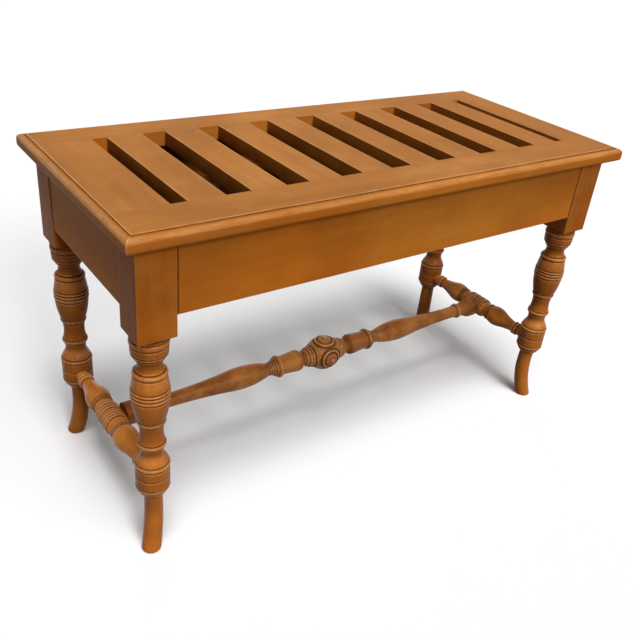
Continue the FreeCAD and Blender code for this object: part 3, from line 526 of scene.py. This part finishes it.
# Painted highlights on the shank, and worn corners on the block.
shoulder = score_lines(drop, SHOULDER_DROPS, SHOULDER_WIDTH)
lips = groove_lips(drop, LEG_SCORES, LEG_SCORE_WIDTH)
shank_highlight = np.maximum(CREST_HIGHLIGHT * swell**4 + SHOULDER_HIGHLIGHT * shoulder, LIP_HIGHLIGHT * lips)
leg_wear_and_highlight = np.zeros((len(leg_level), len(angles)))
leg_wear_and_highlight[: len(block_levels)] = np.where(np.isclose(np.abs(cosines), np.abs(sines)), BLOCK_CORNER_WEAR, 0.0)
leg_wear_and_highlight[len(block_levels) : -len(foot_levels)] = shank_highlight[:, None]
leg_wood = wood("leg_wood_upright", 2, LEG_COLOUR, planed=BLOCK_BOTTOM, **LEG_FINISH)
for node, side_x, side_y in (
    ("leg_front_left", -1, -1),
    ("leg_front_right", 1, -1),
    ("leg_back_left", -1, 1),
    ("leg_back_right", 1, 1),
):
    node_low, node_high = (np.array(corner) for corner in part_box(node))
    axis_x, axis_y = (node_low + node_high)[:2] / 2
    rings = np.empty((len(leg_level), len(angles), 3))
    rings[..., 0] = axis_x - side_x * (leg_radius * cosines + leg_shift[:, None])
    rings[..., 1] = axis_y - side_y * (leg_radius * sines + leg_shift[:, None])
    rings[..., 2] = leg_level[:, None]
    piece = skin(f"{node}_turned", rings, leg_wood, leg_dirt_and_shade[:, None], leg_wear_and_highlight)
    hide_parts(node)

# The aprons are plain sawn boards tenoned into the leg blocks, set back a little from their
# faces, with eased edges and a dark line of old dirt where they meet the blocks and the top.

APRON_COLOUR = (0.580, 0.186, 0.020)
APRON_FINISH = {"rough": 0.42, "figure": 0.045, "shine": 0.015}
LONG_APRON_REDDER = 0.18
APRON_BOTTOM = 0.3605
BACK_APRON_BOTTOM = 0.3545
APRON_EASE = 0.0010
# Painted shade on the inner faces of the aprons, inside the frame.
INNER_SHADE = 0.9
RIM_WIDTH = 0.0009
JOINT_DIRT, UNDER_TOP_DIRT = 0.9, 0.5
LOWER_EDGE_WEAR = 0.15
apron_along_x = wood("apron_wood_along_rack", 0, APRON_COLOUR, redder=LONG_APRON_REDDER, **APRON_FINISH)
apron_along_y = wood("apron_wood_across_rack", 1, APRON_COLOUR, **APRON_FINISH)
block_inner_x = leg_low[0] + 2 * half_block
block_inner_y = leg_low[1] + 2 * half_block
for node, axes, reach, bottom, material, face_shade in (
    ("apron_front", (0, 2, 1), block_inner_x, APRON_BOTTOM, apron_along_x, (0.0, INNER_SHADE)),
    ("apron_back", (0, 2, 1), block_inner_x, BACK_APRON_BOTTOM, apron_along_x, (INNER_SHADE, 0.0)),
    ("apron_left", (1, 2, 0), block_inner_y, APRON_BOTTOM, apron_along_y, (0.0, INNER_SHADE)),
    ("apron_right", (1, 2, 0), block_inner_y, APRON_BOTTOM, apron_along_y, (INNER_SHADE, 0.0)),
):
    low, high = (np.array(corner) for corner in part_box(node))
    low[axes[0]], high[axes[0]] = reach, -reach
    low[2] = bottom
    face, rear = low[axes[2]], high[axes[2]]
    face_levels = face + APRON_EASE * (1 - np.cos(turn[::2]))
    rear_levels = rear - APRON_EASE * (1 - np.cos(turn[::-2]))
    through = np.concatenate([face_levels, rear_levels])
    edge = eased(through, face, rear, APRON_EASE)
    clean = np.zeros_like(through)
    rim = bell(np.minimum(through - face, rear - through), RIM_WIDTH)
    dirt_and_shade = (clean, JOINT_DIRT * rim, UNDER_TOP_DIRT * rim, JOINT_DIRT * rim)
    wear_and_highlight = (LOWER_EDGE_WEAR * rim, clean, clean, clean)
    marks = (dirt_and_shade, wear_and_highlight, [clean] * 4)
    piece = board(f"{node}_board", low, high, through, [edge] * 4, material, marks, axes, face_shade)
    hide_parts(node)

# The end stretchers are each turned from one length of wood: a ringed hub in the middle, a vase
# on each side of it and two small rings at each end, which is plain where it enters the leg.

# The end stretchers get a lighter copy of the wood than the legs, painted light for the stronger light on
# them.
STRETCHER_LIT_COLOUR = (0.840, 0.283, 0.038)
STRETCHER_FINISH = {"rough": 0.22, "figure": 0.07, "blotch": 0.25, "patches": 26.0, "shine": 0.13}
HUB_RADIUS = 0.0174
END_MEMBERS = (
    (0.0190, 0.0174, 0.0173), (0.0035, 0.0166, 0.0149), (0.0085, 0.0144, 0.0152), (0.0045, 0.0160, 0.0154),
    (0.0270, 0.0182, 0.0160), (0.0295, 0.0122, 0.0098), (0.0060, 0.0118, 0.0102), (0.0060, 0.0118, 0.0102),
    (0.0220, 0.0102, 0.0102),
)
END_BEADS = (
    (0.0025, 0.0080), (0.0080, 0.0135), (0.0135, 0.0190), (0.0310, 0.0334),
    (0.0334, 0.0358), (0.0358, 0.0382), (0.0920, 0.0980), (0.0980, 0.1040),
)
END_SCORES = tuple(sorted({place for pair in END_BEADS for place in pair}))
END_STEP = 0.0006
END_SKIM = 0.0009
END_BEAD_RISE = 0.0006
END_SCORE_WIDTH = 0.0009
END_SCORE_DEPTH = 0.0012
END_LIP_WIDTH = 0.0007
# Painted highlights on the bead crests and groove lips.
END_CREST_HIGHLIGHT = 0.6


def both_ways(along, *values):
    """Mirrors a half turning about its middle: the places change sign and the values stay."""
    mirrored = [np.concatenate([value[:0:-1], value]) for value in values]
    return np.concatenate([-along[:0:-1], along]), *mirrored


def lathe(along, radius, axis, centre, around=72):
    """Rings of a turning: at each place along the axis, a circle about the centre with the radius there."""
    angle = np.linspace(0, 2 * np.pi, around, endpoint=False)
    others = [k for k in range(3) if k != axis]
    radius = np.broadcast_to(np.reshape(radius, (len(along), -1)), (len(along), around))
    rings = np.empty((len(along), around, 3))
    rings[..., axis] = centre[axis] + along[:, None]
    rings[..., others[0]] = centre[others[0]] + radius * np.cos(angle)
    rings[..., others[1]] = centre[others[1]] + radius * np.sin(angle)
    return rings


end_wood = wood("stretcher_wood_across_rack_lit", 1, STRETCHER_LIT_COLOUR, **STRETCHER_FINISH)
end_along, end_radius = turning(HUB_RADIUS, END_MEMBERS, END_STEP)
end_swell = bead_swell(end_along, END_BEADS)
end_grooves = score_lines(end_along, END_SCORES, END_SCORE_WIDTH)
# Painted highlights on the crests and lips, and painted shade in the grooves.
end_highlights = np.maximum(end_swell**4, groove_lips(end_along, END_SCORES, END_LIP_WIDTH))
end_radius = end_radius - END_SKIM + END_BEAD_RISE * end_swell - END_SCORE_DEPTH * end_grooves
end_along, end_radius, end_grooves, end_highlights = both_ways(end_along, end_radius, end_grooves, end_highlights)
end_highlight = end_highlights[:, None] * END_CREST_HIGHLIGHT
for node in ("stretcher_left", "stretcher_right"):
    low, high = (np.array(corner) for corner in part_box(node))
    rings = lathe(end_along, end_radius, 1, (low + high) / 2)
    piece = skin(f"{node}_turned", rings, end_wood, end_grooves[:, None], end_highlight)
    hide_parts(node)

# The long stretcher is turned from one length of wood: a ball in the middle, then on each side
# stepped rings, an urn, a flange, a long baluster and a disc on the end stretcher. The ball has
# four round bosses turned on its cross axes, each a ring about a raised dome with a button.

LONG_COLOUR = (0.500, 0.173, 0.033)
LONG_FINISH = {"rough": 0.32, "figure": 0.08, "blotch": 0.50, "patches": 26.0, "shine": 0.16}
BALL_RADIUS = 0.0273
BALL_MEMBERS = (
    (0.0245, 0.0246, 0.0184), (0.0008, 0.0177, 0.0170), (0.0097, 0.0173, 0.0148), (0.0042, 0.0143, 0.0122),
)
BALL_SCORES = (0.0249, 0.0300, 0.0350)
BALL_STEP = 0.0004
BALL_AROUND = 192
BALL_SCORE_WIDTH = 0.0009
BALL_SCORE_DEPTH = 0.0007
# Radii of the two grooves about each boss, with its raised ring between them.
BOSS_RINGS = (0.0124, 0.0180)
BOSS_SCORE_WIDTH = 0.0016
BOSS_SCORE_DEPTH = 0.0016
BOSS_DOME_RISE = 0.0007
BOSS_RING_RISE = 0.0009
BUTTON_RADIUS = 0.0044
BUTTON_RISE = 0.00095
BUTTON_RING_WIDTH = 0.0006
# Painted shade round each button, and painted highlights on the boss rings, buttons and groove lips.
BUTTON_RING_SHADE = 0.8
BALL_WEAR, BOSS_RING_HIGHLIGHT, BUTTON_HIGHLIGHT, BALL_LIP_HIGHLIGHT = 0.12, 0.7, 0.6, 0.5
SHAFT_START = 0.0122
SHAFT_MEMBERS = (
    (0.0073, 0.0115, 0.0142), (0.0075, 0.0169, 0.0177), (0.0250, 0.0166, 0.0156), (0.0060, 0.0158, 0.0162),
    (0.0080, 0.0178, 0.0156), (0.0050, 0.0149, 0.0128), (0.0130, 0.0105, 0.0115), (0.0420, 0.0163, 0.0180),
    (0.0270, 0.0175, 0.0161), (0.1050, 0.0119, 0.0106), (0.0120, 0.0107, 0.0109), (0.0090, 0.0132, 0.0119),
    (0.0200, 0.0129, 0.0172), (0.0164, 0.0175, 0.0175),
)
SHAFT_BEADS = ((0.0458, 0.0538), (0.0580, 0.0615), (0.0615, 0.0652), (0.0652, 0.0690), (0.2578, 0.2668))
URN_SCORE = 0.0148
DISC_SCORES = (0.2712, 0.2758, 0.2808, 0.2868, 0.2930)
SHAFT_SCORES = tuple(sorted({place for pair in SHAFT_BEADS for place in pair} | {URN_SCORE, *DISC_SCORES}))
SHAFT_STEP = 0.0009
SHAFT_SKIM = 0.0004
SHAFT_BEAD_RISE = 0.0006
SHAFT_SCORE_WIDTH = 0.0007
SHAFT_SCORE_DEPTH = 0.0006
# Painted shade in the grooves, in the neck beside the ball and on the disc at each end; painted highlights
# on crests and groove lips.
SHAFT_SCORE_SHADE = 0.9
SHAFT_CREST_HIGHLIGHT = 0.45
NECK_PLACES, NECK_SHADE = (0.000, 0.010, 0.016), (0.50, 0.40, 0.0)
DISC_PLACES = (0.266, 0.285)
LEFT_DISC_SHADE, RIGHT_DISC_SHADE = 0.25, 0.40
long_wood = wood("stretcher_wood_along_rack", 0, LONG_COLOUR, **LONG_FINISH)
centre_low, centre_high = (np.array(corner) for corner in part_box("stretcher_centre"))
centre = (centre_low + centre_high) / 2
ball_along, ball_radius = turning(BALL_RADIUS, BALL_MEMBERS, BALL_STEP)
ball_grooves = score_lines(ball_along, BALL_SCORES, BALL_SCORE_WIDTH)
ball_lips = groove_lips(ball_along, BALL_SCORES, BALL_SCORE_WIDTH)
ball_radius = ball_radius - BALL_SCORE_DEPTH * ball_grooves
ball_along, ball_radius, ball_grooves, ball_lips = both_ways(
    ball_along, ball_radius, ball_grooves, ball_lips
)
ball_angle = np.linspace(0, 2 * np.pi, BALL_AROUND, endpoint=False)
from_axis = np.abs((ball_angle + np.pi / 4) % (np.pi / 2) - np.pi / 4)
off_axis = np.hypot(ball_along[:, None], ball_radius[:, None] * np.sin(from_axis))
boss_grooves = score_lines(off_axis, BOSS_RINGS, BOSS_SCORE_WIDTH)
boss_ring = bead_swell(off_axis, [BOSS_RINGS])
dome = np.clip(1 - (off_axis / BOSS_RINGS[0]) ** 4, 0, 1)
button = np.sqrt(np.clip(1 - (off_axis / BUTTON_RADIUS) ** 2, 0, 1))
relief = BOSS_DOME_RISE * dome + BOSS_RING_RISE * boss_ring + BUTTON_RISE * button
relief -= BOSS_SCORE_DEPTH * boss_grooves
# Painted shade in the grooves and round each button; painted highlights on the boss rings, buttons and
# groove lips, over a little even wear.
button_ring = bell(off_axis - BUTTON_RADIUS, BUTTON_RING_WIDTH) * BUTTON_RING_SHADE
ball_shade = np.maximum(np.maximum(ball_grooves[:, None], boss_grooves), button_ring)
ball_wear_and_highlight = BALL_WEAR + BOSS_RING_HIGHLIGHT * boss_ring**4 + BUTTON_HIGHLIGHT * button
ball_wear_and_highlight = ball_wear_and_highlight + BALL_LIP_HIGHLIGHT * ball_lips[:, None]
ball = lathe(ball_along, ball_radius[:, None] + relief, 0, centre, BALL_AROUND)
piece = skin("stretcher_centre_ball", ball, long_wood, ball_shade, ball_wear_and_highlight)
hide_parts("stretcher_centre")
shaft_along, shaft_radius = turning(SHAFT_START, SHAFT_MEMBERS, SHAFT_STEP)
shaft_swell = bead_swell(shaft_along, SHAFT_BEADS)
shaft_grooves = score_lines(shaft_along, SHAFT_SCORES, SHAFT_SCORE_WIDTH)
shaft_highlights = np.maximum(shaft_swell**4, groove_lips(shaft_along, SHAFT_SCORES, SHAFT_SCORE_WIDTH))
shaft_highlight = shaft_highlights[:, None] * SHAFT_CREST_HIGHLIGHT
shaft_radius = shaft_radius - SHAFT_SKIM + SHAFT_BEAD_RISE * shaft_swell - SHAFT_SCORE_DEPTH * shaft_grooves
# Painted shade in the neck beside the ball and on the end disc.
neck_shade = np.interp(shaft_along, NECK_PLACES, NECK_SHADE)
disc_shade = np.interp(shaft_along, DISC_PLACES, (0.0, 1.0))
shaft_along = shaft_along + ball_along[-1]
for side, name, painted_shade in ((-1, "left", LEFT_DISC_SHADE), (1, "right", RIGHT_DISC_SHADE)):
    rings = lathe(side * shaft_along, shaft_radius, 0, centre)
    dirt_and_shade = np.maximum(SHAFT_SCORE_SHADE * shaft_grooves, neck_shade + painted_shade * disc_shade)
    piece = skin(f"stretcher_centre_{name}_shaft", rings, long_wood, dirt_and_shade[:, None], shaft_highlight)

# Small square blocks of bare wood are glued behind the aprons near the corners, and a
# steel screw goes up through each of them into the top.

BLOCK_COLOUR = (0.48, 0.29, 0.14)
BLOCK_FINISH = {"rough": 0.70, "figure": 0.12, "shine": 0.01}
STEEL_DULL, STEEL_BRIGHT = (0.30, 0.27, 0.24), (0.52, 0.51, 0.49)
STEEL_ROUGH = (0.35, 0.60)
STEEL_GRAIN = 600.0
block_wood = wood("block_wood_bare", 2, BLOCK_COLOUR, **BLOCK_FINISH)
for long_side, short_side in (("front", "left"), ("front", "right"), ("back", "left"), ("back", "right")):
    for node in (f"glue_block_{long_side}_{short_side}", f"glue_block_{short_side}_{long_side}"):
        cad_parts[node].data.materials.clear()
        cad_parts[node].data.materials.append(block_wood)
screw_steel = bpy.data.materials.new("screw_steel")
screw_steel.use_nodes = True
steel_tree = screw_steel.node_tree
steel = steel_tree.nodes["Principled BSDF"]
steel.inputs["Metallic"].default_value = 1.0
steel_place = shader_node(steel_tree, "ShaderNodeTexCoord").outputs["Object"]
steel_inputs = {"Vector": steel_place, "Scale": STEEL_GRAIN}
steel_cloud = shader_node(steel_tree, "ShaderNodeTexNoise", steel_inputs).outputs["Fac"]
steel_colour = ramp(steel_tree, steel_cloud, [(0.35, STEEL_DULL), (0.65, STEEL_BRIGHT)])
steel_gloss = between(steel_tree, steel_cloud, 0.0, 1.0, *STEEL_ROUGH)
steel_tree.links.new(steel_colour, steel.inputs["Base Color"])
steel_tree.links.new(steel_gloss, steel.inputs["Roughness"])
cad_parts["top_screws"].data.materials.clear()
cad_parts["top_screws"].data.materials.append(screw_steel)

# The studio is a plain floor and an even surround, both white to the camera and in reflections but
# dim as sources of light. Broad soft lights stand above and in front, weaker ones at the left and behind.

FLOOR_HALF = 12.0
FLOOR_SEEN = (0.98, 0.98, 0.98, 1.0)
FLOOR_BOUNCE = (0.12, 0.11, 0.10, 1.0)
SURROUND_WHITE = (1.0, 1.0, 1.0, 1.0)
SURROUND_LIGHT = 0.05


def seen_rays(tree):
    """One where a ray comes from the camera, a reflection or a clear body, and nought where it carries
    light: the greatest of the three."""
    path = shader_node(tree, "ShaderNodeLightPath").outputs
    seen = path["Is Camera Ray"]
    for key in ("Is Glossy Ray", "Is Transmission Ray"):
        seen = shader_node(tree, "ShaderNodeMath", {0: seen, 1: path[key]}, operation="MAXIMUM").outputs[0]
    return seen


floor_mesh = bpy.data.meshes.new("floor")
floor_ends = ((-1, -1), (1, -1), (1, 1), (-1, 1))
floor_mesh.from_pydata([(FLOOR_HALF * x, FLOOR_HALF * y, 0.0) for x, y in floor_ends], [], [(0, 1, 2, 3)])
floor = bpy.data.objects.new("floor", floor_mesh)
bpy.context.scene.collection.objects.link(floor)
floor_paint = bpy.data.materials.new("floor_paint")
floor_paint.use_nodes = True
floor_tree = floor_paint.node_tree
floor_tree.nodes.remove(floor_tree.nodes["Principled BSDF"])
seen_paint = shader_node(floor_tree, "ShaderNodeBsdfDiffuse", {"Color": FLOOR_SEEN}).outputs[0]
bounce_paint = shader_node(floor_tree, "ShaderNodeBsdfDiffuse", {"Color": FLOOR_BOUNCE}).outputs[0]
floor_inputs = {0: seen_rays(floor_tree), 1: bounce_paint, 2: seen_paint}
floor_mix = shader_node(floor_tree, "ShaderNodeMixShader", floor_inputs).outputs[0]
floor_tree.links.new(floor_mix, floor_tree.nodes["Material Output"].inputs["Surface"])
floor_mesh.materials.append(floor_paint)

world = bpy.data.worlds.new("surround")
world.use_nodes = True
world_tree = world.node_tree
surround = world_tree.nodes["Background"]
surround.inputs["Color"].default_value = SURROUND_WHITE
surround.inputs["Strength"].default_value = SURROUND_LIGHT
white_inputs = {"Color": SURROUND_WHITE, "Strength": 1.0}
white = shader_node(world_tree, "ShaderNodeBackground", white_inputs).outputs[0]
world_inputs = {0: seen_rays(world_tree), 1: surround.outputs[0], 2: white}
world_mix = shader_node(world_tree, "ShaderNodeMixShader", world_inputs).outputs[0]
world_tree.links.new(world_mix, world_tree.nodes["World Output"].inputs["Surface"])
bpy.context.scene.world = world

for name, source, strength, spread, in_reflections in (
    ("overhead_light", (-0.12, -0.25, 0.96), 1.55, 18, True),
    ("upper_light", (0.06, -0.53, 0.85), 0.90, 40, True),
    ("front_light", (-0.04, -0.85, 0.53), 1.28, 18, True),
    ("left_light", (-0.96, -0.22, 0.14), 0.16, 50, True),
    ("back_light", (0.20, 0.95, 0.25), 0.70, 60, False),
):
    light_data = bpy.data.lights.new(name, "SUN")
    light_data.energy = strength
    light_data.angle = math.radians(spread)
    light = bpy.data.objects.new(name, light_data)
    light.matrix_world = Vector(source).to_track_quat("Z", "Y").to_matrix().to_4x4()
    light.visible_glossy = in_reflections
    bpy.context.scene.collection.objects.link(light)

# The camera stands in front of the left end, a little above the rack, as in the photograph.
# Its place, turn and lens were fitted to the edges of the top, the legs and the feet.

CAMERA_LENS, CAMERA_SENSOR = 42.65, 36.0
CAMERA_PLACE = (-0.6548, -0.8103, 0.7972)
CAMERA_RIGHT = Vector((0.8137, -0.5738, 0.0928))
CAMERA_UP = Vector((0.2309, 0.4657, 0.8543))
camera_data = bpy.data.cameras.new("camera")
camera_data.lens = CAMERA_LENS
camera_data.sensor_width = CAMERA_SENSOR
camera = bpy.data.objects.new("camera", camera_data)
camera_turn = Matrix((CAMERA_RIGHT, CAMERA_UP, CAMERA_RIGHT.cross(CAMERA_UP))).transposed().to_4x4()
camera.matrix_world = Matrix.Translation(CAMERA_PLACE) @ camera_turn
bpy.context.scene.collection.objects.link(camera)
bpy.context.scene.camera = camera
bpy.context.scene.view_settings.view_transform = "Standard"
